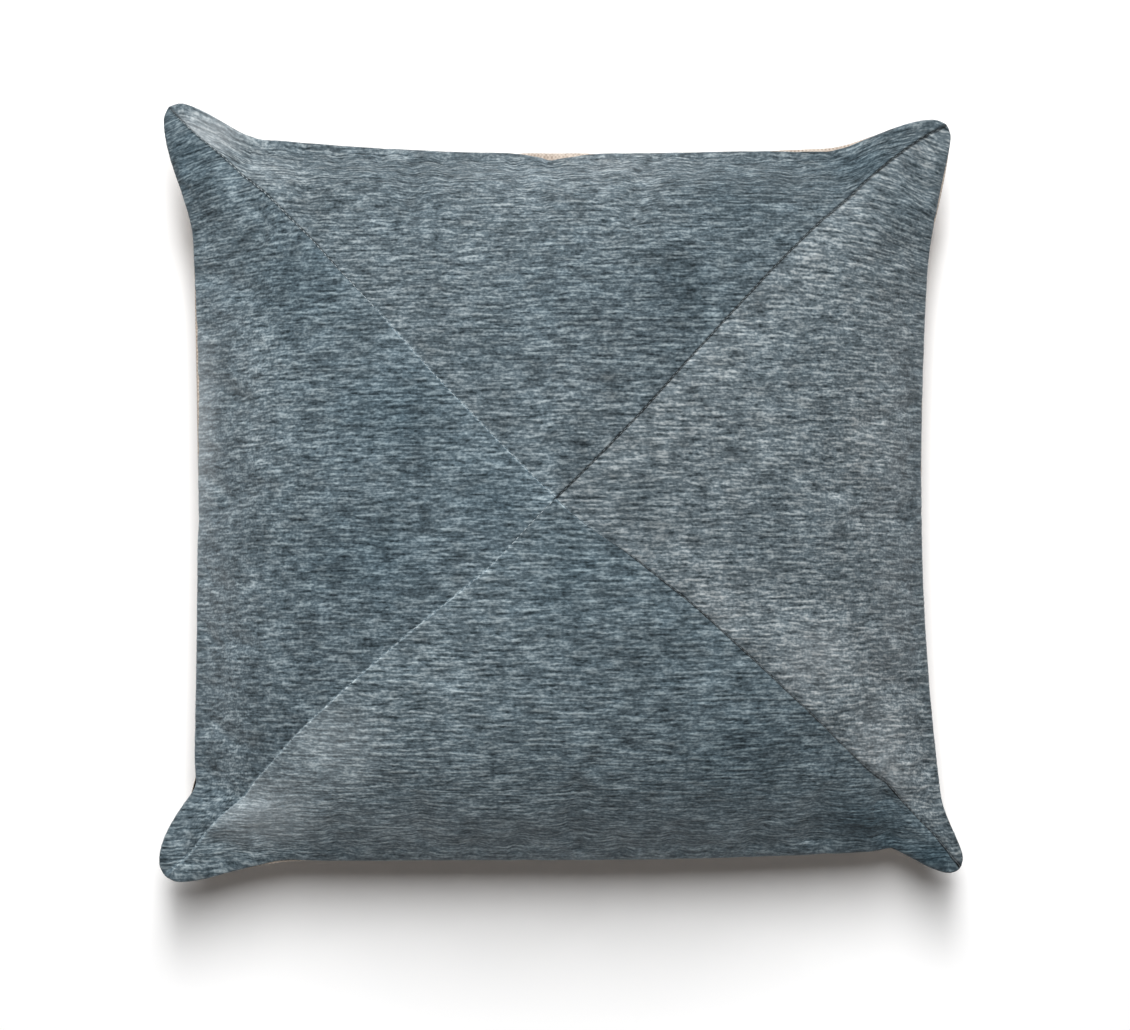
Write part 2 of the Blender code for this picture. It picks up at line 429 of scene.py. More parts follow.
def cloth_solid(name, layer, across, up, lift, bake, values):
    """A closed panel of cloth: a fine outer face, a coarser inner one, and hems between.

    bake says where the outer and the inner face go on the panel's bake map, and values
    are the attributes that its material reads.
    """
    points, ways = on_cover(across, up, layer)
    outer = points + ways * lift[..., None]
    pick = (slice(None, None, HEM_STEP), slice(None, None, HEM_STEP))
    opposite = on_cover(across[pick], up[pick], "back" if layer == "front" else "front")[0]
    room = np.linalg.norm(points[pick] - opposite, axis=-1) / 2
    thickness = np.clip(ROOM_TAKEN * room, THINNEST, CLOTH_THICKNESS)
    sunk = np.minimum(lift[pick], 0.0) - thickness
    inner = points[pick] + ways[pick] * sunk[..., None]
    outer_numbers = np.arange(across.size).reshape(across.shape)
    inner_numbers = across.size + np.arange(sunk.size).reshape(sunk.shape)
    is_front = layer == "front"
    outer_faces = grid_faces(outer_numbers, is_front)
    inner_faces = grid_faces(inner_numbers, not is_front)
    hems = []
    for fine, coarse in zip(edge_lines(outer_numbers), edge_lines(inner_numbers)):
        for step in range(len(coarse) - 1):
            run = fine[step * HEM_STEP : (step + 1) * HEM_STEP + 1]
            hem = [*run[::-1].tolist(), int(coarse[step]), int(coarse[step + 1])]
            hems.append(hem if is_front else hem[::-1])
    all_points = np.concatenate([outer.reshape(-1, 3), inner.reshape(-1, 3)])
    piece = link_mesh(
        name, all_points.tolist(), outer_faces.tolist() + inner_faces.tolist() + hems
    )

    low = np.array([across.min(), up.min()])
    span = np.array([across.max(), up.max()]) - low
    share = (np.stack([across, up], axis=-1) - low) / span
    outer_uv = (np.array(bake["outer"][0]) + bake["outer"][1] * share).reshape(-1, 2)
    inner_uv = (np.array(bake["inner"][0]) + bake["inner"][1] * share[pick]).reshape(-1, 2)
    middle = outer_uv.mean(axis=0)
    hem_uv = middle + (outer_uv - middle) * HEM_SPREAD
    beside = outer_numbers[pick].ravel()
    uv = [outer_uv[outer_faces.ravel()], inner_uv[inner_faces.ravel() - across.size]]
    corners = np.concatenate([np.array(hem) for hem in hems])
    on_outer = corners < across.size
    uv.append(
        np.where(
            on_outer[:, None],
            outer_uv[np.where(on_outer, corners, 0)],
            hem_uv[beside[np.where(on_outer, 0, corners - across.size)]],
        )
    )
    layer_uv = piece.data.uv_layers.new(name="OFBake")
    layer_uv.data.foreach_set("uv", np.concatenate(uv).ravel().astype(np.float32))

    for key, value in values.items():
        kind, field = ("FLOAT_VECTOR", "vector") if value.ndim == 3 else ("FLOAT", "value")
        inner_value = value[pick] if key != "relief" else 0.0 * value[pick]
        stored = np.concatenate([value.ravel(), inner_value.ravel()]).astype(np.float32)
        piece.data.attributes.new(key, kind, "POINT").data.foreach_set(field, stored)
    mesh = bmesh.new()
    mesh.from_mesh(piece.data)
    bmesh.ops.remove_doubles(mesh, verts=mesh.verts, dist=MERGE)
    mesh.to_mesh(piece.data)
    mesh.free()
    piece.data.shade_smooth()
    return piece


# The outer seam
# Front and back are sewn face to face and turned, with no piping, so each cloth rolls
# over its seam allowance into a soft lip, and the stitched line lies in the groove
# between them. In places the back's cloth comes a little way round onto the front.

LIP = {"rise": 0.0009, "sink": 0.0007, "rounding": 0.0022, "fade": 0.010}
SEAM_INSETS = [  # side, middle and reach along it, and inset
    ("top", -0.01, 0.13, 0.0052),
    ("left", 0.30, 0.50, 0.0022),
    ("bottom", -0.70, 0.16, 0.0018),
    ("right", 0.20, 0.70, 0.0010),
    ("top", 0.68, 0.24, 0.0030),
    ("right", 0.84, 0.26, 0.0018),
    ("left", -0.86, 0.14, 0.0006),
    ("right", -0.88, 0.14, 0.0014),
    ("bottom", 0.83, 0.10, -0.0020),
]
COMMON_INSET = -0.0007
RIM_OFFSETS = np.array([0.0, 0.25, 0.7, 1.3, 2.2, 3.2, 4.4]) * 0.001
INSET_REACH = 0.15  # share of the half-side over which a panel's rows follow its seam


def turned_edge(distance, rise, sink, rounding, fade):
    """Height of cloth that is turned under at an edge, at distances from that edge."""
    turn = np.sqrt(1.0 - (1.0 - np.minimum(distance / rounding, 1.0)) ** 2)
    faded = 1.0 - smooth_step((distance - rounding) / fade)
    return rise * turn * faded - sink * (1.0 - turn)


def seam_inset(side, share):
    """How far the outer seam runs in from the edge, over the front."""
    total = np.zeros_like(share)
    for inset_side, middle, reach, inset in SEAM_INSETS:
        if inset_side == side:
            total = total + inset * (1.0 - smooth_step(abs(share - middle) / reach))
    return COMMON_INSET + total * (1.0 - share**8)


def lines_between(first, last, low_offsets, high_offsets, count):
    """Places from first to last: offsets in from either end, and even steps between."""
    room = (last - first)[..., None]
    ends = low_offsets[-1] + high_offsets[-1]
    tight = np.minimum(1.0, room / (2.0 * max(ends, 1e-9)))
    low = first[..., None] + low_offsets * tight
    high = last[..., None] - high_offsets[::-1] * tight
    steps = np.arange(1, count) / count
    between = low[..., -1:] + (high[..., :1] - low[..., -1:]) * steps
    return np.concatenate([low, between, high], axis=-1)


# The mitred front
# Four triangles of one chenille, all cut with their slubs level, are sewn together
# from corner to centre before the back goes on. The top and bottom triangles' edges
# are folded over, and stand proud of the side triangles beside them.

FOLD = {"rise": 0.0005, "sink": 0.0008, "rounding": 0.0009, "fade": 0.008}
VALLEY_DEPTH = 0.0009
VALLEY_WIDTH = 0.0022
LEFT_SEAMS = 0.4  # the two left-hand seams are pressed flatter than the right-hand ones
TIP_FADE = 0.008  # from the outer seam, over which folds and valleys flatten into a tip
MITRE_OFFSETS = np.array([0.0, 0.4, 0.8, 1.4, 2.2, 3.4]) * 0.001 * math.sqrt(2.0)
PANELS = {
    "top": {"shift": (0.0, 0.0), "inner_bake": ((0.02, 0.02), 0.18)},
    "right": {"shift": (3.1, 1.7), "inner_bake": ((0.02, 0.02), 0.18)},
    "bottom": {"shift": (5.3, 4.1), "inner_bake": ((0.02, 0.80), 0.18)},
    "left": {"shift": (7.9, 6.3), "inner_bake": ((0.80, 0.02), 0.18)},
}
OUTER_BAKE = ((0.04, 0.04), 0.92)
FRONT_ROWS = 346
FRONT_COLUMNS = 150
SIDE_ROWS = 696
SIDE_COLUMNS = 69

# The crossing and the four seams lie a little off the cover's diagonals. A row says
# how far a seam lies towards the top or bottom side, at shares of its length.
CROSSING_SHIFT = np.array([-0.008, 0.0192])
SEAM_SHARES = np.array([0.0, 0.10, 0.20, 0.30, 0.45, 0.60, 0.70, 0.78, 0.84, 0.90, 0.95, 1.0])
SEAM_DRIFTS = {
    (-1, 1): [
        0.006, 0.008, 0.009, 0.010, 0.019, 0.023,
        0.0285, 0.0435, 0.045, 0.0175, -0.0055, 0.0,
    ],
    (1, 1): [
        0.014, 0.0165, 0.018, 0.0235, 0.0325, 0.0415,
        0.0495, 0.0525, 0.039, 0.020, 0.0125, 0.0,
    ],
    (1, -1): [
        -0.006, -0.050, -0.036, -0.036, -0.0365, -0.032,
        -0.0245, -0.018, -0.029, -0.033, -0.014, 0.0,
    ],
    (-1, -1): [
        -0.011, 0.004, -0.013, -0.022, -0.031, -0.0355,
        -0.033, -0.042, -0.030, 0.004, 0.001, 0.0,
    ],
}
DRIFT_SMOOTHING = 9  # hundredths of a seam's length
CROSSING_REACH = 0.3  # share of the half-side over which the crossing's shift fades
even_shares = np.linspace(0.0, 1.0, 101)


def drift_at(corner, ring):
    """Drift of one seam at shares of its length, without the table's kinks."""
    drifts = np.interp(even_shares, SEAM_SHARES, SEAM_DRIFTS[corner])
    padded = np.pad(drifts, DRIFT_SMOOTHING // 2, mode="reflect", reflect_type="odd")
    window = np.ones(DRIFT_SMOOTHING) / DRIFT_SMOOTHING
    return np.interp(ring, even_shares, np.convolve(padded, window, mode="valid"))


def drifted(across, up):
    """Where places of the front's cut come to on the cover, with its seams drifted."""
    ring = np.maximum(abs(across), abs(up))
    safe = np.maximum(ring, 1e-9)
    outer = smooth_step(ring / CROSSING_REACH)
    shift_x, shift_y = (CROSSING_SHIFT[axis] * (1.0 - outer) for axis in (0, 1))
    for corner in SEAM_DRIFTS:
        share = (1.0 + corner[0] * across / safe) * (1.0 + corner[1] * up / safe) / 4.0
        drift = share * outer * drift_at(corner, ring)
        shift_x = shift_x - corner[0] * drift
        shift_y = shift_y + corner[1] * drift
    return across + shift_x, up + shift_y


def upright_panel(side):
    """Places of the top or bottom panel, and their distances from its two kinds of seam."""
    ways = {"top": 1.0, "bottom": -1.0}[side]
    one, none = np.array(1.0), np.array(0.0)
    rows = lines_between(none, one, np.array([0.0]), RIM_OFFSETS / HALF, FRONT_ROWS)
    width = np.maximum(rows, 1e-6)
    offsets = MITRE_OFFSETS / HALF
    columns = lines_between(-width, width, offsets, offsets, FRONT_COLUMNS) / width[:, None]
    inset = seam_inset(side, columns * rows[:, None]) / HALF
    height = rows[:, None] - inset * smooth_step((rows[:, None] - 1.0) / INSET_REACH + 1.0)
    across = columns * height
    mitre = (height - abs(across)) * HALF / math.sqrt(2.0)
    rim = np.broadcast_to((1.0 - rows[:, None]) * HALF, across.shape)
    if ways < 0.0:
        return across[::-1], -height[::-1], mitre[::-1], rim[::-1]
    return across, height, mitre, rim


def side_panel(side):
    """Places of the left or right panel, and their distances from its two kinds of seam."""
    rows = np.linspace(-1.0, 1.0, SIDE_ROWS + 1) * (1.0 - COMMON_INSET / HALF)
    reach = 1.0 - seam_inset(side, rows) / HALF
    offsets = (MITRE_OFFSETS / HALF, RIM_OFFSETS / HALF)
    outward = lines_between(abs(rows), np.maximum(reach, abs(rows)), *offsets, SIDE_COLUMNS)
    up = np.broadcast_to(rows[:, None], outward.shape)
    mitre = (outward - abs(up)) * HALF / math.sqrt(2.0)
    rim = (reach[:, None] - outward) * HALF
    if side == "left":
        return -outward[:, ::-1], up, mitre[:, ::-1], rim[:, ::-1]
    return outward, up, mitre, rim


# Each panel's pile lies its own way, and how it catches the light is painted into its
# colour as painted light and shade: paler where it lies towards the light, darker where
# it lies away. Some patches paint a highlight on the upper left ear, and shade over the
# lower right ear, which is turned from the light, and in the crease near its tip.
# Each patch of a panel is its middle and reaches, in millimetres, and its strength.
NAP_LIGHT_AND_SHADE_PATCHES = {
    "top": [
        (-198, 199, 22, 12, 1.55), (-151, 177, 20, 12, 0.35), (-10, 20, 25, 18, -0.15),
        (-23, 168, 25, 19, 0.25), (33, 181, 40, 11, 0.52), (0, 107, 25, 25, -0.30),
        (22, 40, 19, 22, 0.28), (65, 113, 31, 25, -0.40), (95, 161, 28, 19, -0.42),
        (166, 182, 25, 12, -0.55), (-170, 180, 22, 14, 0.30), (-40, 72, 22, 18, -0.26),
        (-86, 157, 22, 16, -0.22),
    ],
    "right": [
        (189, 157, 17, 24, -0.45), (127, 77, 35, 30, -0.22), (168, 30, 19, 28, 0.44),
        (194, -4, 9, 61, -0.25), (110, -26, 31, 25, -0.20), (44, -4, 25, 19, -0.33),
        (88, -62, 22, 19, 0.32), (140, -88, 25, 25, 0.60), (174, -137, 19, 25, 0.52),
        (184, -162, 14, 20, 0.33), (176, -98, 16, 22, 0.20), (212, -190, 12, 12, -0.30),
    ],
    "bottom": [
        (-165, -178, 30, 20, 1.10), (-120, -134, 28, 24, 0.55), (-67, -104, 28, 25, 0.28),
        (-90, -187, 39, 14, 0.34), (0, -48, 31, 25, -0.36), (55, -92, 28, 25, -0.15),
        (97, -142, 32, 26, -0.40), (167, -182, 22, 14, -0.76), (207, -202, 16, 10, -0.75),
        (183, -197, 8, 6, -0.55), (0, -25, 25, 15, -0.12), (-137, -150, 28, 25, 0.15),
        (5, -192, 70, 14, 0.20), (-75, -163, 66, 28, 0.25),
    ],
    "left": [
        (-145, 113, 25, 25, -0.40), (-201, 35, 11, 61, 1.40), (-167, 35, 17, 44, 0.40),
        (-90, 41, 28, 25, -0.50), (-34, -4, 25, 19, -0.36), (-117, -37, 33, 25, -0.36),
        (-186, -62, 23, 33, 0.40), (-187, -151, 17, 19, 0.32), (-212, -192, 16, 17, 0.15),
        (-206, 184, 16, 18, -0.45), (-181, -125, 22, 22, 0.25), (-170, 78, 18, 20, 0.30),
        (-86, -28, 22, 30, -0.22),
    ],
}
# Painted light and shade of the nap beside the mitres: each panel paler or darker next to its
# left-hand and right-hand seams.
MITRE_NAP_LIGHT_AND_SHADE = {  # beside the left-hand and the right-hand seams
    "top": (0.05, -0.20),
    "right": (0.0, 0.22),
    "bottom": (0.22, -0.12),
    "left": (-0.12, 0.0),
}
MITRE_NAP_LIGHT_AND_SHADE_REACH = 0.030
# Painted shade along the outer seam: the steep rims turned away from the light are darker, the
# top rim, which faces the light, a little paler.
RIM_PAINTED_SHADE = {"top": 0.05, "right": -0.35, "bottom": -0.15, "left": -0.05}
RIM_PAINTED_SHADE_REACH = 0.005
CROSSING_NAP_LIGHT_AND_SHADE_REACH = 0.05  # from the crossing, over which the mitres' nap begins


def nap_light_and_shade_at(side, x, y, mitre, rim):
    """How much paler or darker a panel's pile is painted at points in plan: painted light and
    shade.
    """
    beside = np.where(x < 0.0, *MITRE_NAP_LIGHT_AND_SHADE[side])
    total = beside * np.exp(-mitre / MITRE_NAP_LIGHT_AND_SHADE_REACH)
    total *= smooth_step(np.hypot(x, y) / CROSSING_NAP_LIGHT_AND_SHADE_REACH)
    total += RIM_PAINTED_SHADE[side] * np.exp(-rim / RIM_PAINTED_SHADE_REACH)
    for middle_x, middle_y, reach_x, reach_y, share in NAP_LIGHT_AND_SHADE_PATCHES[side]:
        away = ((x * 1000 - middle_x) / reach_x) ** 2 + ((y * 1000 - middle_y) / reach_y) ** 2
        total += share * np.exp(-away)
    return total


# Along a mitre, the thread and the worn fold show as a thin pale line on the left. On
# the right the line is painted shade, dark in the groove, as is the line in the upper
# left ear. It is wider in the ears, and starts otherwise below the crossing.
SEAM_LINE = {"full": 0.0004, "end": 0.0009}
SEAM_SHADES = {  # of the left-hand and the right-hand seams
    "top": (1.25, -0.40),
    "bottom": (0.50, -0.85),
    "left": (0.60, 0.0),
    "right": (0.0, -0.60),
}
EAR_LINE = {"start": 0.085, "end": 0.135, "shade": -0.40}  # of the upper left seam, across
LOWER_LINES = {"start": 0.012, "end": 0.055, "shades": (-0.15, 0.55)}  # near the crossing
EAR_GAPE = {"start": 0.20, "end": 0.27, "wider": 0.0005}  # out from the crossing


def over(distance, span):
    """Runs from 0 to 1 between a span's start and its end."""
    return smooth_step((distance - span["start"]) / (span["end"] - span["start"]))


def seam_shade(side, x, y, mitre):
    """How pale the thread and the worn fold show along a mitre seam, and how dark the painted
    shade in its groove.
    """
    from_crossing = np.hypot(x, y)
    edge = mitre - SEAM_LINE["full"] - EAR_GAPE["wider"] * over(from_crossing, EAR_GAPE)
    near = 1.0 - smooth_step(edge / (SEAM_LINE["end"] - SEAM_LINE["full"]))
    shade = np.where(x < 0.0, *SEAM_SHADES[side])
    if side in ("top", "left"):
        shade = shade + (EAR_LINE["shade"] - shade) * over(-x, EAR_LINE) * (y > 0.0)
    first = np.where(x < 0.0, *LOWER_LINES["shades"])
    lower = first + (shade - first) * over(from_crossing, LOWER_LINES)
    return near * np.where(y < 0.0, lower, shade)


# The slubs lie level right across the filled cover. The top panel's follow its seam into
# the ears, and the side panels' turn down in the upper ears.
SLUB_TURNS = {
    "left": {"everywhere": 0.04, "ear": 0.42, "start": 0.55},
    "right": {"everywhere": 0.02, "ear": 0.36, "start": 0.38},
}
TOP_SLUBS = {"start": 0.50, "end": 0.90}  # shares of the half-side, for the turn to the seam


def slub_level(side, across, up, y):
    """Which row of slubs runs through each place of a panel, by its height in plan."""
    if side in SLUB_TURNS:
        row = SLUB_TURNS[side]
        turn = smooth_step((up - row["start"]) / (1.0 - row["start"]))
        return y + (row["everywhere"] + row["ear"] * turn) * (abs(across) ** 3 - 0.5) / 2 * HALF
    line = np.linspace(-1.0, 1.0, 2 * GRID_CELLS + 1)
    middle = plan_points(np.zeros_like(line), line)[1]
    level_row = np.interp(y, middle, line) * HALF
    level_row += y - np.clip(y, middle[0], middle[-1])
    if side == "bottom":
        return level_row
    return level_row + (up * HALF - level_row) * over(abs(up), TOP_SLUBS)


def add_node(tree, kind, inputs=None, **settings):
    """Adds a node. inputs gives what each of its sockets reads or holds."""
    node = tree.nodes.new(kind)
    for key, value in settings.items():
        setattr(node, key, value)
    for key, value in (inputs or {}).items():
        if isinstance(value, bpy.types.NodeSocket):
            tree.links.new(value, node.inputs[key])
        else:
            node.inputs[key].default_value = value
    return node


def add_math(tree, operation, *values):
    """Adds a sum of one kind, and gives its result."""
    sockets = dict(enumerate(values))
    return add_node(tree, "ShaderNodeMath", sockets, operation=operation).outputs[0]


def add_vectors(tree, operation, inputs):
    """Adds a sum of one kind with vectors, and gives its result."""
    return add_node(tree, "ShaderNodeVectorMath", inputs, operation=operation).outputs[0]


def add_noise(tree, x, y, width, height, detail=2.0):
    """Adds noise with patches of a width and a height in metres, and gives it about 0."""
    inputs = {0: add_math(tree, "DIVIDE", x, width), 1: add_math(tree, "DIVIDE", y, height)}
    place = add_node(tree, "ShaderNodeCombineXYZ", inputs)
    inputs = {"Vector": place.outputs[0], "Scale": 1.0, "Detail": detail}
    noise = add_node(tree, "ShaderNodeTexNoise", inputs, noise_dimensions="2D")
    return add_math(tree, "SUBTRACT", noise.outputs[0], 0.5)


LONG_SLUBS = (0.020, 0.0019)  # length and pitch of the rows of pile that run furthest
SHORT_SLUBS = (0.0060, 0.0015)
WANDER_PATCHES = (0.050, 0.020)  # over which the rows stray from level
WANDER = 0.0024
RIB_PITCH = 0.0025
RIB_BREAKS = (0.020, 0.005)  # over which the ribs are broken
RIB_STRAY = 9.0  # radians
RIB_SHARE = 0.03


def slub_pile(tree, place):
    """The pile of the chenille from 0, the ground between slubs, to 1, their tops."""
    parts = add_node(tree, "ShaderNodeSeparateXYZ", {0: place})
    x, y = parts.outputs[0], parts.outputs[1]
    wander = add_noise(tree, x, y, *WANDER_PATCHES, 1.0)
    y = add_math(tree, "MULTIPLY_ADD", wander, WANDER, y)
    long_slubs = add_noise(tree, x, y, *LONG_SLUBS, 4.0)
    short_slubs = add_noise(tree, x, y, *SHORT_SLUBS, 3.0)
    broken = add_noise(tree, x, y, *RIB_BREAKS, 0.0)
    ribs = add_math(tree, "MULTIPLY", y, math.tau / RIB_PITCH)
    rib = add_math(tree, "SINE", add_math(tree, "MULTIPLY_ADD", broken, RIB_STRAY, ribs))
    pile = add_math(tree, "ADD", long_slubs, 0.5)
    pile = add_math(tree, "ADD", short_slubs, pile)
    pile = add_math(tree, "MULTIPLY_ADD", rib, RIB_SHARE, pile)
    return add_node(tree, "ShaderNodeClamp", {0: pile}).outputs[0]


def started(name, shape, sizes, material):
    """A node group that takes a shape, sizes and a material, and gives a shape."""
    tree = bpy.data.node_groups.new(name, "GeometryNodeTree")
    kinds = {shape: "Geometry", **dict.fromkeys(sizes, "Float"), material: "Material"}
    for key, kind in kinds.items():
        tree.interface.new_socket(key, in_out="INPUT", socket_type=f"NodeSocket{kind}")
    tree.interface.new_socket("Made", in_out="OUTPUT", socket_type="NodeSocketGeometry")
    return tree, tree.nodes.new("NodeGroupInput")


def ended(tree, shape, material):
    """Ends a node group: its shape is made real, in one material."""
    real = add_node(tree, "GeometryNodeRealizeInstances", {0: shape})
    inputs = {"Geometry": real.outputs[0], "Material": material}
    dressed = add_node(tree, "GeometryNodeSetMaterial", inputs)
    add_node(tree, "NodeGroupOutput", {"Made": dressed.outputs[0]})
    return tree


def relief_tree():
    """A node group that raises the slubs of a panel, by its attributes cut and relief."""
    tree, given = started("slub_relief", "Panel", ["Slub height"], "Cloth")
    kind = "GeometryNodeInputNamedAttribute"
    cut = add_node(tree, kind, {"Name": "cut"}, data_type="FLOAT_VECTOR")
    relief = add_node(tree, kind, {"Name": "relief"}, data_type="FLOAT")
    pile = slub_pile(tree, cut.outputs[0])
    height = add_math(tree, "MULTIPLY", add_math(tree, "SUBTRACT", pile, 0.5), relief.outputs[0])
    height = add_math(tree, "MULTIPLY", height, given.outputs["Slub height"])
    way = tree.nodes.new("GeometryNodeInputNormal")
    offset = add_vectors(tree, "SCALE", {0: way.outputs[0], "Scale": height})
    inputs = {"Geometry": given.outputs["Panel"], "Offset": offset}
    raised = add_node(tree, "GeometryNodeSetPosition", inputs)
    return ended(tree, raised.outputs[0], given.outputs["Cloth"])


def made_by(tree, piece, settings):
    """Runs a piece through a tree with named inputs, and leaves it as a plain mesh."""
    modifier = piece.modifiers.new(tree.name, "NODES")
    modifier.node_group = tree
    sockets = {
        item.name: item.identifier
        for item in tree.interface.items_tree
        if item.item_type == "SOCKET" and item.in_out == "INPUT"
    }
    for key, value in settings.items():
        modifier[sockets[key]] = value
    depsgraph = bpy.context.evaluated_depsgraph_get()
    made = bpy.data.meshes.new_from_object(piece.evaluated_get(depsgraph))
    piece.modifiers.clear()
    piece.data = made
    made.name = piece.name


def linear(red, green, blue):
    """A colour given in 0 to 255 as a screen shows it."""
    values = [value / 255 for value in (red, green, blue)]
    parts = [v / 12.92 if v <= 0.04045 else ((v + 0.055) / 1.055) ** 2.4 for v in values]
    return (*parts, 1.0)


def new_material(name, finish):
    """A material with a finish, given by its shader's sockets."""
    material = bpy.data.materials.new(name)
    material.use_nodes = True
    shader = material.node_tree.nodes["Principled BSDF"]
    for key, value in finish.items():
        shader.inputs[key].default_value = value
    return material, material.node_tree, shader


def add_ramp(tree, level, colours):
    """Adds a ramp through colours at their places, and gives its colour at a level."""
    ramp = add_node(tree, "ShaderNodeValToRGB", {0: level})
    stops = ramp.color_ramp.elements
    while len(stops) < len(colours):
        stops.new(0.5)
    for stop, (place, colour) in zip(stops, colours):
        stop.position = place
        stop.color = colour
    return ramp.outputs[0]


def coat(tree, shader, colour, depth, height):
    """Gives a shader its colour and its fine relief."""
    bump = add_node(tree, "ShaderNodeBump", {**depth, "Height": height})
    tree.links.new(colour, shader.inputs["Base Color"])
    tree.links.new(bump.outputs[0], shader.inputs["Normal"])


CHENILLE_FINISH = {
    "Roughness": 0.92,
    "Specular IOR Level": 0.15,
    "Sheen Weight": 0.25,
    "Sheen Roughness": 0.45,
    "Sheen Tint": (0.80, 0.86, 0.90, 1.0),
}
PILE_COLOURS = [(0.10, (36, 46, 51)), (0.50, (85, 98, 105)), (0.92, (148, 159, 163))]
# Random paler and darker blotches over the pile.
RANDOM_BLOTCHES = [  # widths, heights and shares
    (0.008, 0.005, 0.80), (0.020, 0.010, 0.55), (0.040, 0.020, 0.45), (0.080, 0.045, 0.35),
]
PILE_DEPTH = {"Strength": 0.6, "Distance": 0.0004}
TUFTS = (0.0018, 0.0013)
TUFT_SHARE = 0.70
# How the painted nap light and shade tints the pile's colour, channel by channel.
NAP_LIGHT_AND_SHADE_TINT = (0.77, 0.67, 0.62)
# Painted sheen: a pale colour mixed into the pile where its painted nap light is strongest.
PAINTED_SHEEN = (160, 165, 168)  # that the tips show where the pile lies furthest to the light
PAINTED_SHEEN_START = 0.35
PAINTED_SHEEN_SHARE = 0.42
# Painted light and shade of each panel's nap: the one chenille made paler or darker, and its hue
# moved, by how each panel's pile catches the light.
PANEL_NAP_LIGHT_AND_SHADE = {
    "top": (0.95, 0.94, 0.94),
    "right": (1.12, 1.06, 1.035),
    "bottom": (1.03, 1.05, 1.06),
    "left": (1.03, 1.05, 1.065),
}


def chenille(name, panel_nap_light_and_shade):
    """Slubbed chenille: level rows of short pile, light at their tips and dark between."""
    material, tree, shader = new_material(name, CHENILLE_FINISH)
    cut = add_node(tree, "ShaderNodeAttribute", attribute_name="cut")
    nap = add_node(tree, "ShaderNodeAttribute", attribute_name="nap")
    seam = add_node(tree, "ShaderNodeAttribute", attribute_name="seam")
    parts = add_node(tree, "ShaderNodeSeparateXYZ", {0: cut.outputs["Vector"]})
    pile = slub_pile(tree, cut.outputs["Vector"])
    tufts = add_noise(tree, parts.outputs[0], parts.outputs[1], *TUFTS)
    pile_tone = add_math(tree, "MULTIPLY_ADD", tufts, TUFT_SHARE, pile)
    # The panel's painted nap light and shade tints the ramp's colours.
    tinted = [
        (place, [part * share for part, share in zip(linear(*colour), (*panel_nap_light_and_shade, 1.0))])
        for place, colour in PILE_COLOURS
    ]
    colour = add_ramp(tree, pile_tone, tinted)
    level = 1.0
    # Random paler and darker blotches over the pile.
    for width, height, share in RANDOM_BLOTCHES:
        blotch = add_noise(tree, parts.outputs[0], parts.outputs[1], width, height)
        level = add_math(tree, "MULTIPLY_ADD", blotch, share, level)
    # The pale worn fold and the painted shade along the mitres.
    level = add_math(tree, "ADD", level, seam.outputs["Fac"])
    # The painted nap light and shade tints the colour.
    bare = {0: nap.outputs["Color"], 1: NAP_LIGHT_AND_SHADE_TINT, 2: (1.0, 1.0, 1.0)}
    leaning = add_vectors(tree, "MULTIPLY_ADD", bare)
    lit = add_vectors(tree, "MULTIPLY", {0: colour, 1: leaning})
    shaded = add_vectors(tree, "SCALE", {0: lit, "Scale": level})
    # A painted sheen is mixed in where the painted nap light is strongest.
    beyond = add_math(tree, "SUBTRACT", nap.outputs["Fac"], PAINTED_SHEEN_START)
    share = add_math(tree, "MULTIPLY", beyond, PAINTED_SHEEN_SHARE)
    inputs = {"Factor": share, 6: shaded, 7: linear(*PAINTED_SHEEN)}
    painted_sheen_mix = add_node(tree, "ShaderNodeMix", inputs, data_type="RGBA", clamp_factor=True)
    coat(tree, shader, painted_sheen_mix.outputs[2], PILE_DEPTH, pile)
    return material


SLUB_HEIGHT = 0.0004
SEAM_RELIEF = {"least": 0.2, "reach": 0.0015}  # of the slubs, which flatten at the seams
least_relief = SEAM_RELIEF["least"]
slub_relief = relief_tree()
for side, row in PANELS.items():
    upright = side in ("top", "bottom")
    across, up, mitre, rim = upright_panel(side) if upright else side_panel(side)
    if upright:
        at_mitre = turned_edge(mitre, **FOLD)
    else:
        at_mitre = -VALLEY_DEPTH * np.exp(-((mitre / VALLEY_WIDTH) ** 2))
    at_mitre = at_mitre * smooth_step(rim / TIP_FADE) * np.where(across < 0.0, LEFT_SEAMS, 1.0)
    places = drifted(across, up)
    surface = on_cover(*places, "front")[0]
    standing = smooth_step(np.minimum(mitre, rim) / SEAM_RELIEF["reach"])
    cut_x = across * HALF + row["shift"][0]
    cut_y = slub_level(side, across, up, plan_points(*places)[1]) + row["shift"][1]
    values = {
        "cut": np.stack([cut_x, cut_y, np.zeros_like(cut_x)], axis=-1),
        "relief": least_relief + (1.0 - least_relief) * standing,
        # The painted nap light and shade.
        "nap": nap_light_and_shade_at(side, surface[..., 0], surface[..., 1], mitre, rim),
        # The pale worn fold and the painted shade along the mitres.
        "seam": seam_shade(side, across * HALF, up * HALF, mitre),
    }
    panel = cloth_solid(
        f"front_panel_{side}", "front", *places,
        at_mitre + turned_edge(rim, **LIP),
        {"outer": OUTER_BAKE, "inner": row["inner_bake"]}, values,
    )
    # Each panel gets its own copy of the one chenille, with its painted nap light and shade.
    cloth = chenille(f"chenille_{side}", PANEL_NAP_LIGHT_AND_SHADE[side])
    made_by(slub_relief, panel, {"Slub height": SLUB_HEIGHT, "Cloth": cloth})
    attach(panel, "root")
    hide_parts("cushion")

# The stitches
# Polyester thread sews the panels together along the mitres, where it shows as small
# pricks down in the fold, and sews front to back, down in the groove of the outer seam.

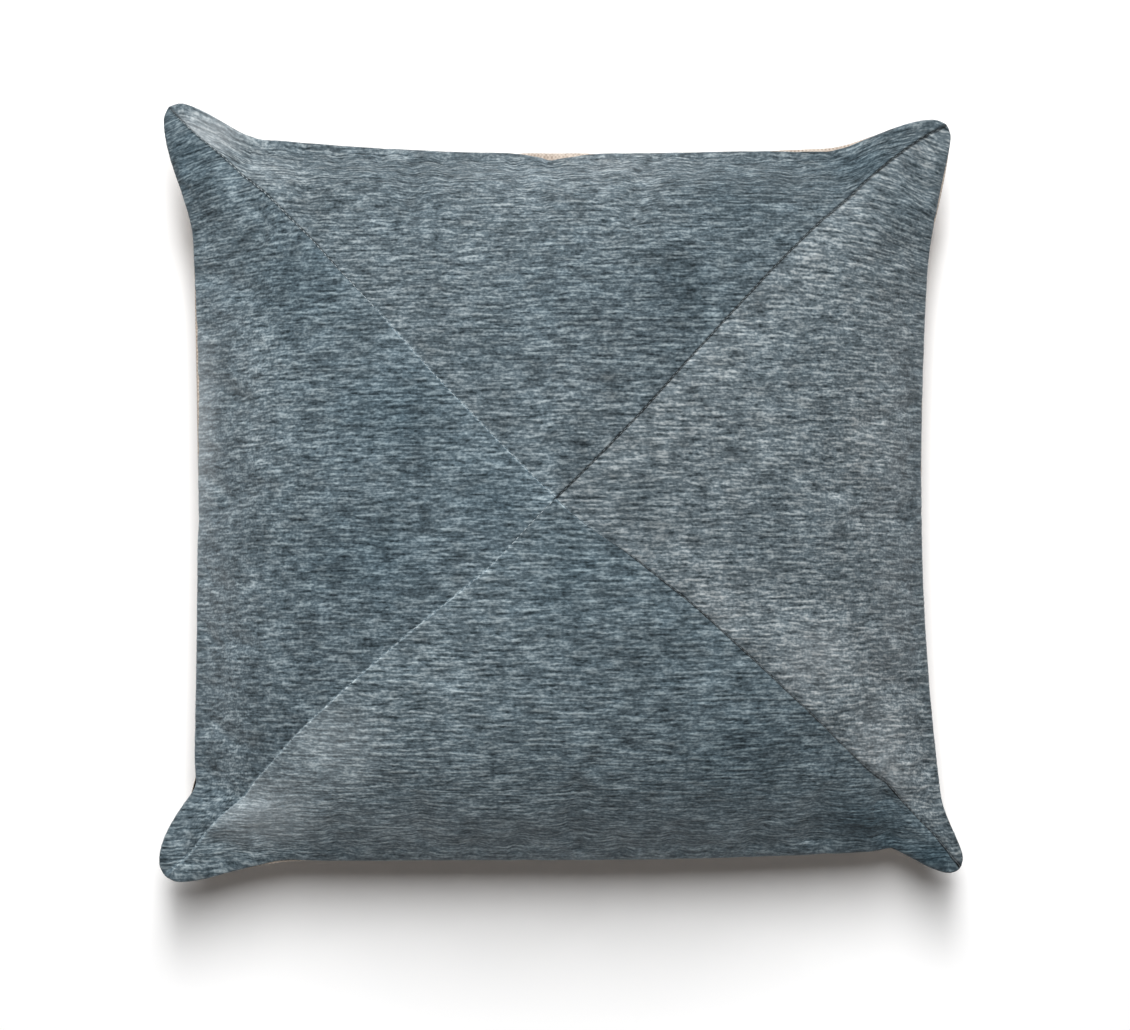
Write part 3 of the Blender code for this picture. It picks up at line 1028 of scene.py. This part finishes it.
STITCH_PITCH = 0.0032
STITCH_LENGTH = 0.0023
THREAD_RADIUS = 0.00028
MITRE_STITCH_LIFT = -0.0004
OUTER_STITCH_LIFT = -0.0003
# One thread throughout; its tone is painted light and shade, paler on the left-hand mitres and
# darker, in painted shade, on the right-hand ones.
THREAD_SHADES = {(-1, 1): 1.0, (-1, -1): 0.85, (1, 1): 0.25, (1, -1): 0.25}
OUTER_THREAD_SHADE = 0.4
MITRE_RUN = np.linspace(0.012, 0.975, 400)  # shares of the half-side
OUTER_RUN = np.linspace(-0.965, 0.965, 600)
BEAD = {"Segments": 6, "Rings": 4, "Radius": 1.0}
UNEVENNESS = {"Min": 0.8, "Max": 1.15, "Seed": 7}


def stitched_lines(name, lines):
    """An object of open lines. Each has its points and how pale its thread looks."""
    points = np.concatenate([line for line, shade in lines])
    shades = np.concatenate([np.full(len(line), shade) for line, shade in lines])
    firsts = np.cumsum([0] + [len(line) for line, shade in lines])
    edges = [
        (number, number + 1)
        for first, last in zip(firsts[:-1], firsts[1:])
        for number in range(first, last - 1)
    ]
    piece = link_mesh(name, points.tolist(), [], edges)
    stored = piece.data.attributes.new("shade", "FLOAT", "POINT")
    stored.data.foreach_set("value", shades.astype(np.float32))
    return piece


def stitch_tree():
    """A node group that sews stitches of thread along lines."""
    sizes = ["Pitch", "Length", "Radius"]
    tree, given = started("run_of_stitches", "Lines", sizes, "Thread")
    curves = add_node(tree, "GeometryNodeMeshToCurve", {"Mesh": given.outputs["Lines"]})
    inputs = {"Curve": curves.outputs[0], "Length": given.outputs["Pitch"]}
    spaced = add_node(tree, "GeometryNodeResampleCurve", inputs, mode="LENGTH")
    tangent = tree.nodes.new("GeometryNodeInputTangent")
    inputs = {"Vector": tangent.outputs[0]}
    turned = add_node(tree, "FunctionNodeAlignRotationToVector", inputs, axis="X")
    half_length = add_math(tree, "MULTIPLY", given.outputs["Length"], 0.5)
    inputs = {0: half_length, 1: given.outputs["Radius"], 2: given.outputs["Radius"]}
    size = add_node(tree, "ShaderNodeCombineXYZ", inputs)
    uneven = add_node(tree, "FunctionNodeRandomValue", UNEVENNESS, data_type="FLOAT")
    inputs = {0: size.outputs[0], "Scale": uneven.outputs["Value"]}
    uneven_size = add_vectors(tree, "SCALE", inputs)
    bead = add_node(tree, "GeometryNodeMeshUVSphere", BEAD)
    inputs = {
        "Points": spaced.outputs[0],
        "Instance": bead.outputs["Mesh"],
        "Rotation": turned.outputs[0],
        "Scale": uneven_size,
    }
    sewn = add_node(tree, "GeometryNodeInstanceOnPoints", inputs)
    return ended(tree, sewn.outputs[0], given.outputs["Thread"])


THREAD_FINISH = {"Roughness": 0.6, "Specular IOR Level": 0.3}
THREAD_COLOURS = [(0.0, linear(48, 58, 64)), (1.0, linear(168, 178, 182))]
TWIST = {"Scale": 2500.0, "Detail": 1.0}
TWIST_SHARE = 0.3
TWIST_DEPTH = {"Strength": 0.4, "Distance": 0.0001}


def sewing_thread(name):
    """Twisted polyester thread of the cloth's blue grey, its tone painted paler or darker along
    each seam by the attribute shade, as painted light and shade.
    """
    material, tree, shader = new_material(name, THREAD_FINISH)
    shade = add_node(tree, "ShaderNodeAttribute", attribute_name="shade")
    place = add_node(tree, "ShaderNodeTexCoord")
    twist = add_node(tree, "ShaderNodeTexNoise", {"Vector": place.outputs["Object"], **TWIST})
    lowest = add_math(tree, "ADD", shade.outputs["Fac"], -TWIST_SHARE / 2)
    tone = add_math(tree, "MULTIPLY_ADD", twist.outputs[0], TWIST_SHARE, lowest)
    colour = add_ramp(tree, tone, THREAD_COLOURS)
    coat(tree, shader, colour, TWIST_DEPTH, twist.outputs[0])
    return material


mitre_lines = []
for corner, shade in THREAD_SHADES.items():
    places = drifted(corner[0] * MITRE_RUN, corner[1] * MITRE_RUN)
    points, ways = on_cover(*places, "front")
    mitre_lines.append((points + ways * MITRE_STITCH_LIFT, shade))
outer_lines = []
for side in PANELS:
    reach = 1.0 - seam_inset(side, OUTER_RUN) / HALF
    out = reach if side in ("top", "right") else -reach
    places = (OUTER_RUN, out) if side in ("top", "bottom") else (out, OUTER_RUN)
    points, ways = on_cover(*places, "front")
    outer_lines.append((points + ways * OUTER_STITCH_LIFT, OUTER_THREAD_SHADE))

stitches = stitch_tree()
sizes = {"Pitch": STITCH_PITCH, "Length": STITCH_LENGTH, "Radius": THREAD_RADIUS}
thread = sewing_thread("polyester_thread")
for name, lines in (("mitre_stitches", mitre_lines), ("outer_stitches", outer_lines)):
    sewn_run = stitched_lines(name, lines)
    made_by(stitches, sewn_run, {**sizes, "Thread": thread})
    sewn_run.data.shade_smooth()
    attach(sewn_run, "root")

# The plain back
# One square of undyed linen canvas. It carries the cushion's weight, pressed flat on
# the floor, and its edge comes up to the seam all round.

BACK_CELLS = 188
BACK_BAKE = {"outer": ((0.22, 0.22), 0.74), "inner": ((0.01, 0.01), 0.18)}
CANVAS_FINISH = {"Roughness": 0.9, "Specular IOR Level": 0.2, "Sheen Weight": 0.1}
LINEN_COLOURS = [(0.1, linear(146, 132, 120)), (0.9, linear(206, 194, 182))]
WEAVE_PITCH = 0.0011
WEAVE_SHARE = 0.25
THICK_THREAD = 0.020  # length of a thicker part of a thread
THICK_SHARES = {"weft": 0.8, "warp": 0.6}
WEAVE_DEPTH = {"Strength": 0.5, "Distance": 0.0003}


def back_places():
    """Places of the back, out to the seam, and their distances from it."""
    offsets = RIM_OFFSETS / HALF
    line = lines_between(np.array(-1.0), np.array(1.0), offsets, offsets, BACK_CELLS)
    s, t = np.meshgrid(line, line)
    past_x = np.where(s > 0.0, seam_inset("right", t), seam_inset("left", t)) / HALF
    past_y = np.where(t > 0.0, seam_inset("top", s), seam_inset("bottom", s)) / HALF
    across = s + np.sign(s) * past_x * smooth_step((abs(s) - 1.0) / INSET_REACH + 1.0)
    up = t + np.sign(t) * past_y * smooth_step((abs(t) - 1.0) / INSET_REACH + 1.0)
    return across, up, (1.0 - np.maximum(abs(s), abs(t))) * HALF


def canvas(name):
    """Plain-woven linen canvas: threads over and under, some thicker than others."""
    material, tree, shader = new_material(name, CANVAS_FINISH)
    cut = add_node(tree, "ShaderNodeAttribute", attribute_name="cut")
    parts = add_node(tree, "ShaderNodeSeparateXYZ", {0: cut.outputs["Vector"]})
    x, y = parts.outputs[0], parts.outputs[1]
    warp = add_math(tree, "SINE", add_math(tree, "MULTIPLY", x, math.pi / WEAVE_PITCH))
    weft = add_math(tree, "SINE", add_math(tree, "MULTIPLY", y, math.pi / WEAVE_PITCH))
    weave = add_math(tree, "MULTIPLY", warp, weft)
    thick_weft = add_noise(tree, x, y, THICK_THREAD, WEAVE_PITCH, 1.0)
    thick_warp = add_noise(tree, x, y, WEAVE_PITCH, THICK_THREAD, 1.0)
    height = add_math(tree, "MULTIPLY_ADD", weave, WEAVE_SHARE, 0.5)
    height = add_math(tree, "MULTIPLY_ADD", thick_weft, THICK_SHARES["weft"], height)
    height = add_math(tree, "MULTIPLY_ADD", thick_warp, THICK_SHARES["warp"], height)
    coat(tree, shader, add_ramp(tree, height, LINEN_COLOURS), WEAVE_DEPTH, height)
    return material


across, up, rim = back_places()
cut = np.stack([across * HALF, up * HALF, np.zeros_like(across)], axis=-1)
back = cloth_solid(
    "back_panel", "back", across, up, turned_edge(rim, **LIP), BACK_BAKE, {"cut": cut},
)
back.data.materials.append(canvas("linen_canvas"))
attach(back, "root")
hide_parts("cushion")

# The floor and the light
# A plain white sweep of floor, and one tall soft box that leans over the cushion from
# beyond its upper edge, so that its shadow falls below it. Pale walls fill the rest.

FLOOR_REACH = 6.0
PAPER_FINISH = {"Base Color": (0.96, 0.96, 0.96, 1.0), "Roughness": 0.9}
BOX_LEAN = math.radians(29)
BOX_DISTANCE = 3.0
BOX_SIDES = (0.8, 2.3)
BOX_WATTS = 126.0
WALL_LIGHT = 0.09

floor_corners = [(-1, -1), (1, -1), (1, 1), (-1, 1)]
floor_points = [(x * FLOOR_REACH, y * FLOOR_REACH, 0.0) for x, y in floor_corners]
floor = link_mesh("floor", floor_points, [(0, 1, 2, 3)])
floor.data.materials.append(new_material("floor_paper", PAPER_FINISH)[0])

softbox = bpy.data.lights.new("softbox", "AREA")
softbox.shape = "RECTANGLE"
softbox.size, softbox.size_y = BOX_SIDES
softbox.energy = BOX_WATTS
box_light = bpy.data.objects.new("softbox", softbox)
box_light.location = (0.0, BOX_DISTANCE * math.sin(BOX_LEAN), BOX_DISTANCE * math.cos(BOX_LEAN))
box_light.rotation_euler = (-BOX_LEAN, 0.0, 0.0)
bpy.context.scene.collection.objects.link(box_light)
world = bpy.data.worlds.new("studio")
world.use_nodes = True
world.node_tree.nodes["Background"].inputs[0].default_value = (1.0, 1.0, 1.0, 1.0)
world.node_tree.nodes["Background"].inputs[1].default_value = WALL_LIGHT
bpy.context.scene.world = world
bpy.context.scene.view_settings.view_transform = "Standard"
